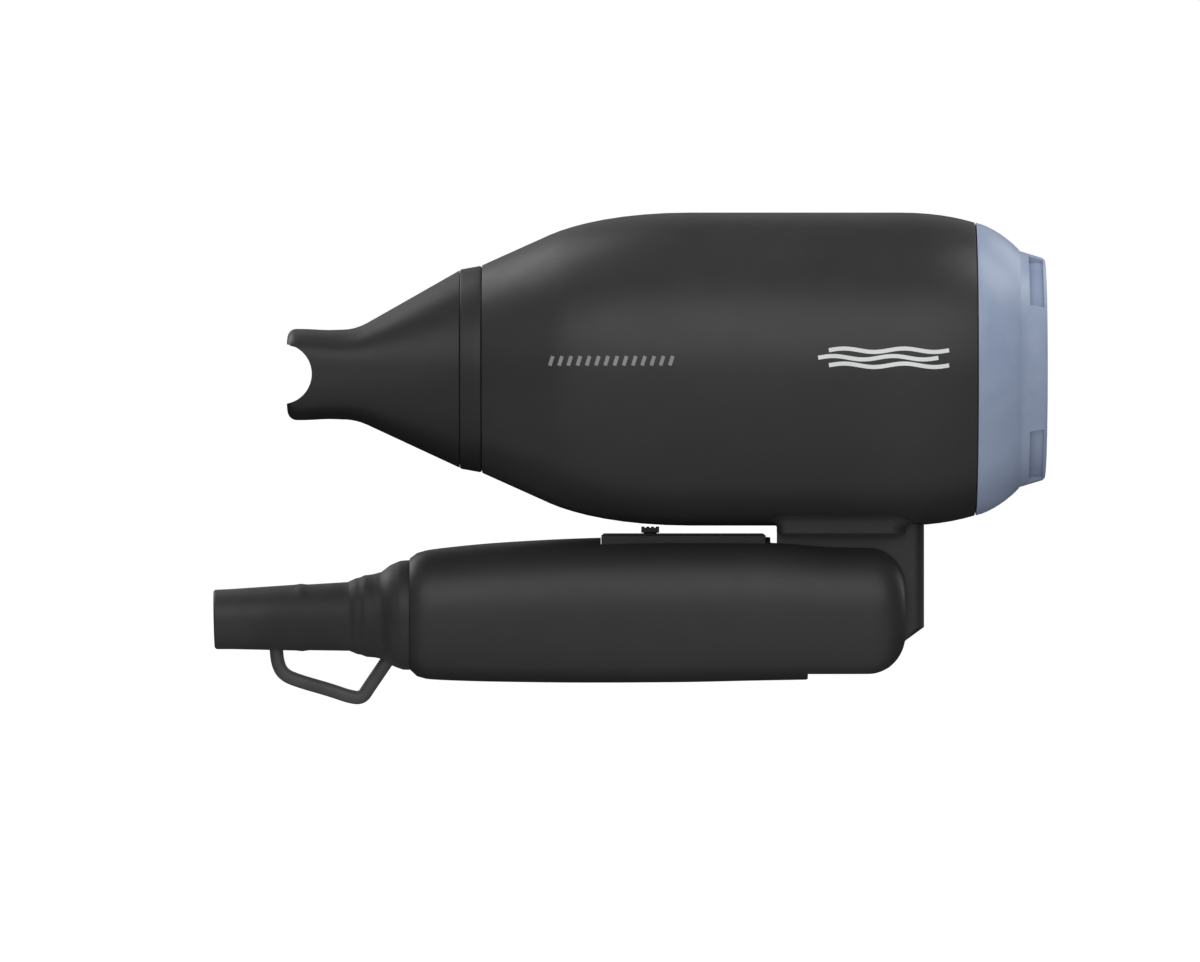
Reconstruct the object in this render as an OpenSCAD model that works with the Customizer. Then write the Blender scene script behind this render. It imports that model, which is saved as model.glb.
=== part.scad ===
// Folding travel hair dryer, folded, standing on its hanging loop.
// +X is the intake end, -X the air outlet, +Z up; the parting plane is Y = 0.

/* [Barrel] */
// Height of the barrel axis above the lowest point of the hanging loop
barrel_z = 78.8; // [70:0.1:90]
// Outer radius of the straight part of the barrel
barrel_r = 36.8; // [30:0.1:42]
// Radial wall of the barrel shells
barrel_wall = 2.3; // [1.6:0.1:3]
// Outer radius of the spigot the swivel collar turns on
spigot_r = 18.5; // [17:0.1:20]
// Radial clearance of turning and push-on parts
running_gap = 0.1; // [0.05:0.01:0.3]

/* [Concentrator] */
// Position of the mouth's edge along the barrel
mouth_x = -80.5; // [-82:0.1:-79]
// Outer half width of the flat mouth
mouth_half_width = 27; // [20:0.5:32]
// Outer half height of the flat mouth
mouth_half_height = 10.6; // [8:0.1:14]
// Distance from the barrel axis down to the mouth's centre line
mouth_drop = 1.3; // [0:0.1:3]
// Radius of the round notch in each end of the mouth
notch_r = 7; // [4:0.1:8]

/* [Heater] */
// Outer radius of the mica liner tube
liner_r = 22; // [18:0.1:24]
// Radius of the heating coil's centre line
coil_r = 14.4; // [10:0.1:18]
// Advance of the heating coil per turn
coil_pitch = 4.6; // [3:0.1:8]
// Turns of the heating coil
coil_turns = 8; // [4:1:8]

/* [Fan] */
// Tip radius of the impeller
fan_r = 30.6; // [20:0.1:30.9]
// Number of impeller blades
fan_blades = 7; // [3:1:9]
// Outer radius of the motor can
motor_r = 12; // [8:0.1:12]

/* [Intake] */
// Position of the cap's front edge along the barrel
cap_front_x = 81; // [80.6:0.1:81.4]
// Position of the rim's rear face along the barrel
rim_x = 97.3; // [97:0.1:98]
// Sweep of each pocket sunk into the rim, in degrees
pocket_sweep = 45; // [20:1:50]
// Radius of the intake grille
grille_r = 24.65; // [22:0.05:24.7]
// Number of spokes in the intake grille
grille_spokes = 12; // [6:1:16]

/* [Hinge] */
// Position of the fold pivot along the barrel
pivot_x = 51.5; // [45:0.1:60]
// Height of the fold pivot
pivot_z = 22.8; // [18:0.1:28]
// Half thickness of the tongue between the handle's cheeks
tongue_half = 6; // [4:0.1:7]
// Radius of the hinge pin
pin_r = 2.5; // [1.5:0.1:4]
// Half width of the block between the tongue and the barrel
neck_half = 11; // [9:0.1:12]
// Height of the block's underside
neck_base_z = 40; // [39.9:0.1:41]

/* [Handle] */
// Roundness of the handle's section: 2 is an ellipse, more is squarer
handle_power = 2.15; // [2.1:0.05:2.6]
// Length of the thumb knob along its travel
knob_length = 4.2; // [3:0.1:8]

/* [Cord boot] */
// Radius of the cord hole through the boot
cord_r = 3.5; // [2.5:0.1:4.5]
// Length of the boot outside the handle
boot_length = 48; // [47:0.1:50]
// Downward tilt of the boot away from the handle, in degrees
boot_tilt = 1.3; // [0:0.1:4]
// Radius of the hanging loop's bar
loop_r = 1.6; // [1.2:0.1:2]

/* [Hidden] */
shell_front_x = -35;
shell_rear_x = cap_front_x - 0.3;
slot_half = tongue_half + 0.6;
tongue_round_r = 15.05;
neck_front = -17.2;
neck_rear = 17.3;
block_rear = 13.1;
collar_tongue_r = spigot_r + 1.5;
boot_z = 21.05;
handle_end_x = -52;
black = [0.16, 0.16, 0.165];
dark = [0.11, 0.11, 0.115];
blue = [0.5, 0.57, 0.68];
mica = [0.72, 0.66, 0.52];
steel = [0.7, 0.71, 0.73];

// ---- shared shapes ----

function bezier(a, b, c, d, steps) = [for (i = [0:steps]) let (t = i / steps, s = 1 - t)
    s * s * s * a + 3 * s * s * t * b + 3 * s * t * t * c + t * t * t * d];

function superellipse(half_w, top, bottom, power, count) = [for (i = [0:count - 1])
    let (a = 360 * (i + 0.5) / count, c = cos(a), s = sin(a), e = 2 / power)
    [half_w * sign(c) * pow(abs(c), e),
     (top + bottom) / 2 + (top - bottom) / 2 * sign(s) * pow(abs(s), e)]];

// Skin through sections across X; a station is [x, top, bottom, half width, power].
module loft(stations, count) {
    last = len(stations) - 1;
    points = [for (s = stations) for (p = superellipse(s[3], s[1], s[2], s[4], count))
        [s[0], p[0], p[1]]];
    sides = [for (i = [0:last - 1]) for (j = [0:count - 1]) let (k = (j + 1) % count)
        for (f = [[i * count + j, (i + 1) * count + j, (i + 1) * count + k],
                  [i * count + j, (i + 1) * count + k, i * count + k]]) f];
    first_cap = [for (j = [0:count - 1]) j];
    last_cap = [for (j = [0:count - 1]) last * count + count - 1 - j];
    polyhedron(points, concat([first_cap, last_cap], sides), convexity = 6);
}

// Barrel axis placed along X: children use Z for the world's X.
module on_barrel() translate([0, 0, barrel_z]) rotate([0, 90, 0]) children();

module at_barrel() translate([0, 0, barrel_z]) children();

module tube(r_out, r_in, x0, x1) translate([0, 0, x0]) difference() {
    cylinder(r = r_out, h = x1 - x0, $fn = 96);
    translate([0, 0, -1]) cylinder(r = r_in, h = x1 - x0 + 2, $fn = 96);
}

module across(r, y0, y1) translate([0, y0, 0]) rotate([-90, 0, 0])
    cylinder(r = r, h = y1 - y0, $fn = 48);

module box(x0, x1, y0, y1, z0, z1) translate([x0, y0, z0])
    cube([x1 - x0, y1 - y0, z1 - z0]);

module bar(a, b, r) {
    v = b - a;
    translate(a) rotate([0, acos(v[2] / norm(v)), atan2(v[1], v[0])])
        cylinder(r = r, h = norm(v), $fn = 24);
}

// Cuts the corners of a path, keeping its ends.
function eased(path, times) = times == 0 ? path : eased(concat([path[0]],
    [for (i = [0:len(path) - 2]) each [path[i] * 0.75 + path[i + 1] * 0.25,
        path[i] * 0.25 + path[i + 1] * 0.75]], [path[len(path) - 1]]), times - 1);

// Round bar along a path that nowhere runs along Y.
module swept(path, r, count) {
    last = len(path) - 1;
    points = [for (i = [0:last]) let (v = path[min(i + 1, last)] - path[max(i - 1, 0)],
        t = v / norm(v), c = cross([0, 1, 0], t), u = c / norm(c), w = cross(t, u))
        for (j = [0:count - 1]) path[i] + r * (cos(360 * j / count) * u
            + sin(360 * j / count) * w)];
    sides = [for (i = [0:last - 1]) for (j = [0:count - 1]) let (k = (j + 1) % count)
        for (f = [[i * count + j, (i + 1) * count + j, (i + 1) * count + k],
                  [i * count + j, (i + 1) * count + k, i * count + k]]) f];
    first_cap = [for (j = [0:count - 1]) j];
    last_cap = [for (j = [0:count - 1]) last * count + count - 1 - j];
    polyhedron(points, concat([first_cap, last_cap], sides), convexity = 6);
}

// ---- barrel ----

function barrel_outer() = concat([[24.4, shell_front_x]],
    bezier([31.6, -19], [34.2, -13], [barrel_r, -2], [barrel_r, 14], 8),
    bezier([barrel_r, 63], [barrel_r, 70], [barrel_r - 0.8, 75.5], [34.45, shell_rear_x], 6));

module barrel_half() {
    outer = barrel_outer();
    inner = [for (i = [len(outer) - 1:-1:1]) [outer[i][0] - barrel_wall, outer[i][1]]];
    profile = concat(outer, inner, [[23.4, shell_front_x + 2], [16.7, shell_front_x + 2],
        [16.7, -45], [19.3, -45], [19.3, -43.9], [spigot_r, -43.9],
        [spigot_r, shell_front_x]]);
    difference() {
        on_barrel() rotate_extrude(angle = 180, $fn = 96) polygon(profile);
        box(38, 65, -5.2, 5.2, 40, 47);
    }
}

module barrel_shell_right() color(black) barrel_half();

module barrel_shell_left() color(black) mirror([0, 1, 0]) barrel_half();

module outlet_grille() color(dark) on_barrel() {
    tube(22, 16.9, -32.9, -31.1);
    tube(13.2, 12, -32.9, -31.1);
    tube(8.6, 7.4, -32.9, -31.1);
    translate([0, 0, -32.9]) cylinder(r = 3.2, h = 1.8, $fn = 48);
    for (i = [0:7]) rotate([0, 0, 45 * i]) translate([2, -0.6, -32.9]) cube([16, 1.2, 1.8]);
}

module heater_tube() color(mica) on_barrel() tube(liner_r, liner_r - 0.5, -30.9, 26.5);

// One mica board with end feet and comb teeth; side_turn is its edge's angle on the coil.
module comb_board(slot_from, slot_to, side_turn) difference() {
    union() {
        box(-30, 22, -13.2, 13.2, -0.4, 0.4);
        for (x = [-30, 17]) box(x, x + 5, -21.3, 21.3, -0.4, 0.4);
        for (side = [0, 1], k = [0:coil_turns - 2])
            translate([-22 + coil_pitch * (k + 0.5 + side_turn + side / 2),
                side == 0 ? 14.6 : -14.6, 0]) cube([1.4, 3.4, 0.8], center = true);
    }
    box(slot_from, slot_to, -0.5, 0.5, -1, 1);
}

module heater_board_flat() color(mica) at_barrel() comb_board(-31, -3.9, 0.25);

module heater_board_upright() color(mica) at_barrel() rotate([90, 0, 0])
    comb_board(-4.1, 23, 0);

module heater_coil() {
    per_turn = 20;
    rings = per_turn * coil_turns;
    points = [for (i = [0:rings]) let (a = 360 * i / per_turn) for (j = [0:5])
        let (b = 60 * j, r = coil_r + 0.5 * cos(b))
        [-22 + coil_pitch * i / per_turn + 0.5 * sin(b), r * sin(a), r * cos(a)]];
    sides = [for (i = [0:rings - 1]) for (j = [0:5]) let (k = (j + 1) % 6)
        for (f = [[i * 6 + j, i * 6 + k, i * 6 + 6 + k],
                  [i * 6 + j, i * 6 + 6 + k, i * 6 + 6 + j]]) f];
    color(steel) at_barrel() polyhedron(points, concat([[5, 4, 3, 2, 1, 0],
        [for (j = [0:5]) rings * 6 + j]], sides), convexity = 10);
}

module thermostat() color(steel) at_barrel() translate([4, 7, 0.4]) {
    cylinder(r = 4, h = 2.2, $fn = 48);
    translate([0, 0, 2.2]) cylinder(r = 3, h = 0.8, $fn = 48);
    translate([-7, -0.8, 0]) cube([14, 1.6, 0.5]);
}

module thermal_fuse() color(steel) at_barrel() translate([0, -6, 2]) {
    bar([-18, 0, 0], [-8, 0, 0], 1.5);
    bar([-23, 0, 0], [-3, 0, 0], 0.4);
}

module fan_duct() color(dark) difference() {
    on_barrel() {
        tube(32.6, 31.2, 25, 75.5);
        tube(32.6, liner_r + 0.1, 25, 26.6);
        tube(motor_r + 1.6, motor_r + 0.1, 34, 57);
        for (i = [0:5]) rotate([0, 0, 60 * i + 30]) translate([motor_r + 1, -0.7, 36])
            cube([31.8 - motor_r - 1, 1.4, 18]);
    }
    at_barrel() box(24, 28, -2, 2, -34, -24);
}

module motor() color(steel) on_barrel() difference() {
    union() {
        translate([0, 0, 31]) cylinder(r = motor_r, h = 27, $fn = 96);
        translate([0, 0, 28.5]) cylinder(r = motor_r - 0.5, h = 3, $fn = 96);
        translate([0, 0, 26.8]) cylinder(r = 3, h = 33.2, $fn = 48);
        for (s = [-1, 1]) translate([-1.2, s * 9 - 0.3, 26.2]) cube([2.4, 0.6, 3]);
    }
    translate([0, 0, 20]) cylinder(r = 1.05, h = 50, $fn = 32);
}

module motor_rectifier() color([0.2, 0.35, 0.2]) on_barrel() {
    translate([0, 0, 22.8]) cylinder(r = 9.5, h = 1.2, $fn = 64);
    for (i = [0:3]) rotate([0, 0, 90 * i + 45]) translate([6.5, 0, 25.2])
        across(1.2, -2.4, 2.4);
}

module motor_leads() color([0.5, 0.1, 0.1]) at_barrel() for (s = [-1, 1])
    bar([24, s * 9, 0], [26.2, s * 9, 0], 0.5);

module motor_shaft() color(steel) on_barrel() translate([0, 0, 25.8])
    cylinder(r = 1, h = 45.6, $fn = 32);

module fan() color([0.75, 0.76, 0.78]) on_barrel() difference() {
    union() {
        rotate_extrude($fn = 96) polygon([[0, 61], [8.5, 61], [8.5, 69], [7, 71], [4, 72],
            [0, 72]]);
        intersection() {
            tube(fan_r, 7.6, 60, 74);
            for (i = [0:fan_blades - 1]) rotate([0, 0, 360 / fan_blades * i])
                translate([7, 0, 66]) rotate([38, 0, 0]) translate([0, -0.7, -7])
                cube([26, 1.4, 14]);
        }
    }
    translate([0, 0, 50]) cylinder(r = 1, h = 30, $fn = 32);
}

// ---- intake ----

module intake_cap() {
    flare = bezier([34.4, cap_front_x], [33.8, 84], [31.2, 88.1], [28.3, rim_x - 6.4], 7);
    inner = [for (i = [len(flare) - 1:-1:1]) [flare[i][0] - 2.1, flare[i][1] - 0.4]];
    color(blue) difference() {
        on_barrel() rotate_extrude($fn = 96) polygon(concat(flare, [[27.75, rim_x - 6],
            [26.15, rim_x - 0.7], [25.6, rim_x - 0.1], [24.75, rim_x], [24.75, rim_x - 2.3],
            [23.2, rim_x - 2.3], [23.2, rim_x - 2.9], [24.6, rim_x - 2.9],
            [24.6, rim_x - 5.1]], inner, [[30.2, cap_front_x + 0.1], [30.2, 76.2],
            [31.8, 76.2], [31.8, cap_front_x]]));
        for (side = [0, 1], up = [0, 1]) on_barrel() mirror([0, side, 0])
            mirror([up, 0, 0]) rotate([0, 0, 57 - pocket_sweep])
            rotate_extrude(angle = pocket_sweep, $fn = 96)
            translate([25.4, rim_x - 4.1]) square([4, 3.3]);
    }
}

module intake_grille() color(blue) on_barrel() {
    tube(grille_r, 23, rim_x - 2.2, rim_x - 1.3);
    intersection() {
        rotate_extrude($fn = 96) polygon([[0, rim_x + 0.4], [8, rim_x + 0.34],
            [14, rim_x + 0.23], [19, rim_x + 0.1], [grille_r, rim_x - 0.1],
            [grille_r, rim_x - 1.5], [19, rim_x - 1.3], [8, rim_x - 1.1],
            [0, rim_x - 1]]);
        union() {
            tube(grille_r + 1, 23, 90, 100);
            for (r = [20, 16.4, 12.8, 9.2]) tube(r, r - 1.4, 90, 100);
            translate([0, 0, 90]) cylinder(r = 5.6, h = 10, $fn = 64);
            for (i = [0:grille_spokes - 1]) rotate([0, 0, 360 / grille_spokes * (i + 0.5)])
                translate([5, -0.7, 90]) cube([19, 1.4, 10]);
        }
    }
}

module lint_filter() color(steel) on_barrel() {
    tube(24.45, 22.6, rim_x - 4.7, rim_x - 3);
    intersection() {
        translate([0, 0, rim_x - 4.3]) cylinder(r = 23.2, h = 0.6, $fn = 96);
        union() for (i = [-4:4]) {
            translate([-25, 5 * i - 0.3, rim_x - 4.7]) cube([50, 0.6, 2]);
            translate([5 * i - 0.3, -25, rim_x - 4.7]) cube([0.6, 50, 2]);
        }
    }
}

// ---- hinge ----

module hinge_neck() color(black) difference() {
    union() {
        difference() {
            union() {
                translate([pivot_x, tongue_half, pivot_z]) rotate([90, 0, 0])
                    linear_extrude(2 * tongue_half) {
                    circle(r = tongue_round_r, $fn = 96);
                    polygon([[neck_front, 22], [neck_front, -3], [-14.5, -4], [0, 0],
                        [12.9, -7.8], [neck_rear, -4.6], [neck_rear, 22]]);
                }
                box(pivot_x + neck_front, pivot_x + block_rear, -neck_half, neck_half,
                    neck_base_z, 48);
            }
            on_barrel() translate([0, 0, 20]) cylinder(r = barrel_r, h = 60, $fn = 96);
        }
        box(38.2, 64.8, -5, 5, 41, 46);
        intersection() {
            box(36, 62, -9, 9, 42, 50);
            on_barrel() tube(barrel_r - barrel_wall, barrel_r - 3.5, 30, 70);
        }
    }
    on_barrel() translate([0, 0, 20]) cylinder(r = barrel_r - 3.5, h = 60, $fn = 96);
    translate([pivot_x, 0, pivot_z]) across(pin_r, -8, 8);
}

module hinge_pin() color(steel) translate([pivot_x, 0, pivot_z]) across(pin_r, -11, 11);

module hinge_washers() color(mica) for (y = [-tongue_half - 0.55, tongue_half + 0.05])
    translate([pivot_x, 0, pivot_z]) difference() {
        across(8, y, y + 0.5);
        across(pin_r + 0.05, y - 1, y + 2);
    }

// ---- outlet ----

module nozzle_collar() color(dark) on_barrel() rotate_extrude($fn = 96)
    polygon([[spigot_r + running_gap, -43.7], [collar_tongue_r, -43.7],
        [collar_tongue_r, -40.2], [23.2, -40.2], [23.45, -39.9], [24.25, -35.5],
        [24.05, -35.06], [spigot_r + running_gap, -35.06]]);

function mouth_station(x, half_h, half_w, power) = [x, barrel_z - mouth_drop + half_h,
    barrel_z - mouth_drop - half_h, half_w, power];

module concentrator() {
    base = 23.2;
    throat = collar_tongue_r + running_gap - 0.05;
    outer = [mouth_station(mouth_x, mouth_half_height - 1.8, mouth_half_width - 1.5, 4),
        mouth_station(mouth_x + 0.4, mouth_half_height - 0.9, mouth_half_width - 0.8, 4),
        mouth_station(mouth_x + 1.4, mouth_half_height - 0.3, mouth_half_width - 0.3, 4),
        mouth_station(mouth_x + 4, mouth_half_height + 0.1, mouth_half_width, 4),
        mouth_station(-70, mouth_half_height - 0.15, mouth_half_width, 3.8),
        mouth_station(-64.7, mouth_half_height + 0.1, mouth_half_width, 3.6),
        [-40.3, barrel_z + base, barrel_z - base, base, 2]];
    hollow = [mouth_station(mouth_x - 1.1, notch_r + 1.8, mouth_half_width - 1, 4),
        mouth_station(mouth_x + 2.1, notch_r, mouth_half_width - 1.8, 4),
        mouth_station(-72, notch_r + 0.2, mouth_half_width - 1.8, 4),
        mouth_station(-64.7, mouth_half_height - 1.8, mouth_half_width - 1.9, 3.6),
        [-43.8, barrel_z + throat, barrel_z - throat, throat, 2]];
    color(dark) difference() {
        loft(outer, 64);
        loft(hollow, 64);
        on_barrel() translate([0, 0, -43.9])
            cylinder(r = collar_tongue_r + running_gap, h = 5, $fn = 96);
        translate([mouth_x - 1.1, 0, barrel_z - mouth_drop]) across(notch_r, -40, 40);
    }
}

// ---- handle ----

// The handle's sections, each [x, top, bottom, half width].
grip_outer = [[handle_end_x, 34.3, 8.2, 12.6], [-50.3, 35.6, 6.6, 13.9],
    [-48.2, 36.2, 6, 14.5], [-44, 36.8, 5.7, 14.8], [-30, 38.1, 5.3, 15.2],
    [-10, 39.1, 5.1, 15.5], [10, 39.5, 5.2, 15.6], [30, 39.4, 5.6, 15.5],
    [41.2, 38.7, 5.8, 15.4]];
grip_inner = [[-49.9, 33.1, 9.1, 11.8], [-44, 34.7, 7.8, 12.7], [-30, 36, 7.4, 13.1],
    [-10, 37, 7.2, 13.4], [10, 37.4, 7.3, 13.5], [31, 37.4, 7.7, 13.4]];

function with_power(stations, power) = [for (s = stations) concat(s, [power])];

module handle_outer() {
    loft(with_power(grip_outer, handle_power), 72);
    loft([for (t = [-0.3, 0, 0.3, 0.5, 0.68, 0.82, 0.93, 1]) let (c = max(t, 0),
        d = 1 - sqrt(1 - c * c)) [t < 0 ? 40 : 55.6 + 8.8 * t, 38.1 - 8.8 * d,
        5.9 + 8.8 * d, 15.2 - 6 * d, handle_power]], 72);
}

module handle_cavity() loft(with_power(grip_inner, handle_power + 0.1), 40);

screw_points = [[-33, 12.6], [4, 12.3], [26, 31]];
clamp_points = [[-42, 13], [-42, 29.4]];

// One handle shell between two Y planes, its screw posts left standing in the cavity.
module handle_half(low, high, post_r) difference() {
    intersection() {
        handle_outer();
        box(-60, 70, low, high, 0, 45);
    }
    difference() {
        handle_cavity();
        for (p = screw_points) translate([p[0], 0, p[1]]) across(post_r, -16, 16);
        for (x = [-7, 19.4]) {
            box(x, x + 1.6, -16, -6.2, 24, 33);
            box(x, x + 1.6, 6.2, 16, 24, 33);
        }
    }
    box(32.7, 70, -slot_half, slot_half, 7.7, 45);
    box(41.3, 70, -slot_half, slot_half, 0, 10);
    box(-7.1, 31.7, -7.1, 7.1, 37.2, 45);
    translate([-60, 0, boot_z]) rotate([0, 90, 0]) cylinder(r = 8.2, h = 14, $fn = 64);
    translate([pivot_x, 0, pivot_z]) across(pin_r + 0.05, -11.2, 11.2);
}

module handle_shell_left() color(black) difference() {
    handle_half(-20, 0, 3.2);
    for (p = screw_points) translate([p[0], 0, p[1]]) across(1.2, -9, 1);
}

module handle_shell_right() color(black) difference() {
    union() {
        handle_half(0, 20, 4);
        for (p = clamp_points) translate([p[0], 0, p[1]]) across(3.2, -3.9, 9.8);
    }
    for (p = screw_points) translate([p[0], 0, p[1]]) {
        across(1.5, -1, 20);
        across(3, 8, 20);
    }
    for (p = clamp_points) translate([p[0], 0, p[1]]) across(1.2, -5, 6);
}

module handle_screws() color(steel) for (p = screw_points) translate([p[0], 0, p[1]]) {
    across(1.15, -8, 8.5);
    difference() {
        across(2.7, 8, 10.2);
        translate([-0.4, 9.4, -3]) cube([0.8, 2, 6]);
    }
}

module switch_plate() color(dark) difference() {
    union() {
        box(-7, 31.6, -7, 7, 37.3, 39.8);
        box(-6.6, 31.2, -6.6, 6.6, 37.3, 40.2);
    }
    box(1.6, 13.4, -2.2, 2.2, 36, 42);
}

module switch_body() color([0.3, 0.3, 0.32]) {
    box(-5.2, 19.2, -6, 6, 25, 34);
    for (x = [-2, 7, 16]) box(x - 1.2, x + 1.2, -0.4, 0.4, 20, 26);
}

module switch_carrier() color([0.85, 0.85, 0.85]) box(0.3, 8.7, -4, 4, 34.1, 35.6);

module switch_knob() color(dark) {
    box(3, 6, -1.8, 1.8, 35.6, 40.6);
    difference() {
        box(4.5 - knob_length / 2, 4.5 + knob_length / 2, -4.6, 4.6, 40.35, 41.8);
        for (x = [3.4, 4.5, 5.6]) box(x - 0.2, x + 0.2, -6, 6, 41.5, 42);
    }
}

module suppressor_capacitor() color([0.75, 0.6, 0.25]) {
    box(-26, -13, -3.5, 3.5, 25, 34);
    for (x = [-23.5, -15.5]) bar([x, 0, 25], [x, 0, 22], 0.4);
}

module handle_wiring() color([0.2, 0.2, 0.6]) {
    swept(eased([[-47, -1.4, 21], [-30, -1.4, 20.5], [-10, -1.2, 17.8], [-2, 0, 17.4],
        [-2, 0, 19.9]], 2), 0.9, 8);
    swept(eased([[-47, 1.4, 21], [-30, 2.2, 20], [8, 2.2, 17.6], [15.6, 0.6, 17.2],
        [16, 0, 19.9]], 2), 0.9, 8);
}

module cord_clamp() color(dark) difference() {
    box(-45, -39, -6.4, -4, 9.6, 32.6);
    for (p = clamp_points) translate([p[0], 0, p[1]]) across(1.5, -8, 0);
}

module clamp_screws() color(steel) for (p = clamp_points) translate([p[0], 0, p[1]]) {
    across(1.15, -6.5, 4);
    difference() {
        across(2.7, -8.4, -6.4);
        translate([-0.4, -9, -3]) cube([0.8, 1.4, 6]);
    }
}

// ---- boot and hanging loop ----

module along_boot() translate([-50, 0, boot_z]) rotate([0, 90 - boot_tilt, 0]) children();

loop_path = eased([[-83.4, 0, 16], [-83.3, 0, 10], [-81.8, 0, 6.6], [-77.8, 0, 5],
    [-70.7, 0, 3], [-66, 0, 1.35], [-63.2, 0, 1.1], [-61.6, 0, 3.6], [-56.4, 0, 11.2],
    [-55.2, 0, 13.2]], 2);
loop_low = min([for (p = loop_path) p[2]]);

module cord_boot() color(dark) difference() {
    along_boot() rotate_extrude($fn = 96) polygon([[cord_r, -boot_length],
        [6.6, -boot_length], [7, 0.4 - boot_length], [7.1, -43.5], [7.75, -29],
        [7.95, -27.4], [7.75, -25.8], [8.1, -16.4], [8.9, -14.6], [9.1, -13.6],
        [9.6, -12.4], [9.8, -10.4], [10.3, -8.4], [11.8, -6.4], [12.4, -5], [12.8, -3.9],
        [12.9, -2.5], [12.9, -1.6], [7.9, -1.6], [7.9, 0.5], [10.6, 0.5], [10.6, 2.4],
        [cord_r, 2.4]]);
    translate([handle_end_x - 0.05, 0, boot_z]) rotate([0, 90, 0]) tube(20, 8, 0, 2);
    translate([0, 0, loop_r - loop_low]) swept(loop_path, loop_r + 0.06, 12);
}

module hanging_loop() color([0.3, 0.3, 0.3]) translate([0, 0, loop_r - loop_low])
    swept(loop_path, loop_r, 12);

barrel_shell_left();
barrel_shell_right();
outlet_grille();
heater_tube();
heater_board_flat();
heater_board_upright();
heater_coil();
thermostat();
thermal_fuse();
fan_duct();
motor();
motor_rectifier();
motor_leads();
motor_shaft();
fan();
intake_cap();
intake_grille();
lint_filter();
hinge_neck();
hinge_pin();
hinge_washers();
nozzle_collar();
concentrator();
handle_shell_left();
handle_shell_right();
handle_screws();
switch_plate();
switch_body();
switch_carrier();
switch_knob();
suppressor_capacitor();
handle_wiring();
cord_clamp();
clamp_screws();
cord_boot();
hanging_loop();
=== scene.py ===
"""Looks of a folding travel hair dryer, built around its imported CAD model."""

import math

import bmesh
import bpy
import numpy as np
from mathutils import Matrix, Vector
from mathutils.bvhtree import BVHTree


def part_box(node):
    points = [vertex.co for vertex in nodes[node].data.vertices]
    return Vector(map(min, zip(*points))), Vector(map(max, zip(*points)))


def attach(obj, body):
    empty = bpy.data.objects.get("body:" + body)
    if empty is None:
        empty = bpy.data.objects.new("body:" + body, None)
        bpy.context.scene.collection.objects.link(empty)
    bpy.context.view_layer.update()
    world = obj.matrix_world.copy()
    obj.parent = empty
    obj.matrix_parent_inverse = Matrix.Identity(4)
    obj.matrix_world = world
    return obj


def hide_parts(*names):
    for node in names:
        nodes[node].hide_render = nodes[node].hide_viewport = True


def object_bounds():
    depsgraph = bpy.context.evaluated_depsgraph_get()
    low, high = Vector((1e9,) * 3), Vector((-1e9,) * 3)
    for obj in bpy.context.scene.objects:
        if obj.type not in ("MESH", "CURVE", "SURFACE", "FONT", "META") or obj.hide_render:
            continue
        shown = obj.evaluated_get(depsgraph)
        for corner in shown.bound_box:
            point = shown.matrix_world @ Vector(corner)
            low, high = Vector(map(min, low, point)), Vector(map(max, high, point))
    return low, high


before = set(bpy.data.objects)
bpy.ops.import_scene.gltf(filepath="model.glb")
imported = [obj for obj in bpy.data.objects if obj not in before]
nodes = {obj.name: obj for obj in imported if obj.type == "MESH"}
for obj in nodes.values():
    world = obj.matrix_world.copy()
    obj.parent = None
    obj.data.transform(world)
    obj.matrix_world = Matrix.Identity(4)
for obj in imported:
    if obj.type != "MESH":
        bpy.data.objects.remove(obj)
cad_low, cad_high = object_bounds()
scene = bpy.context.scene

# Lengths in the shape code are millimetres, in the frame's axes; MM turns them to metres.
MM = 0.001
AXIS = 78.8  # height of the barrel's axis
BARREL_R = 36.8
PIVOT = (51.5, 22.8)  # [x, z] of the hinge pin
SHARP_ANGLE = 36  # degrees between faces, above which an edge is sharp
MERGE_MM = 0.015  # points of a new piece closer than this become one
SLIVER_MM = 0.01  # and edges shorter than this are dissolved


# ---------------------------------------------------------------- materials


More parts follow.
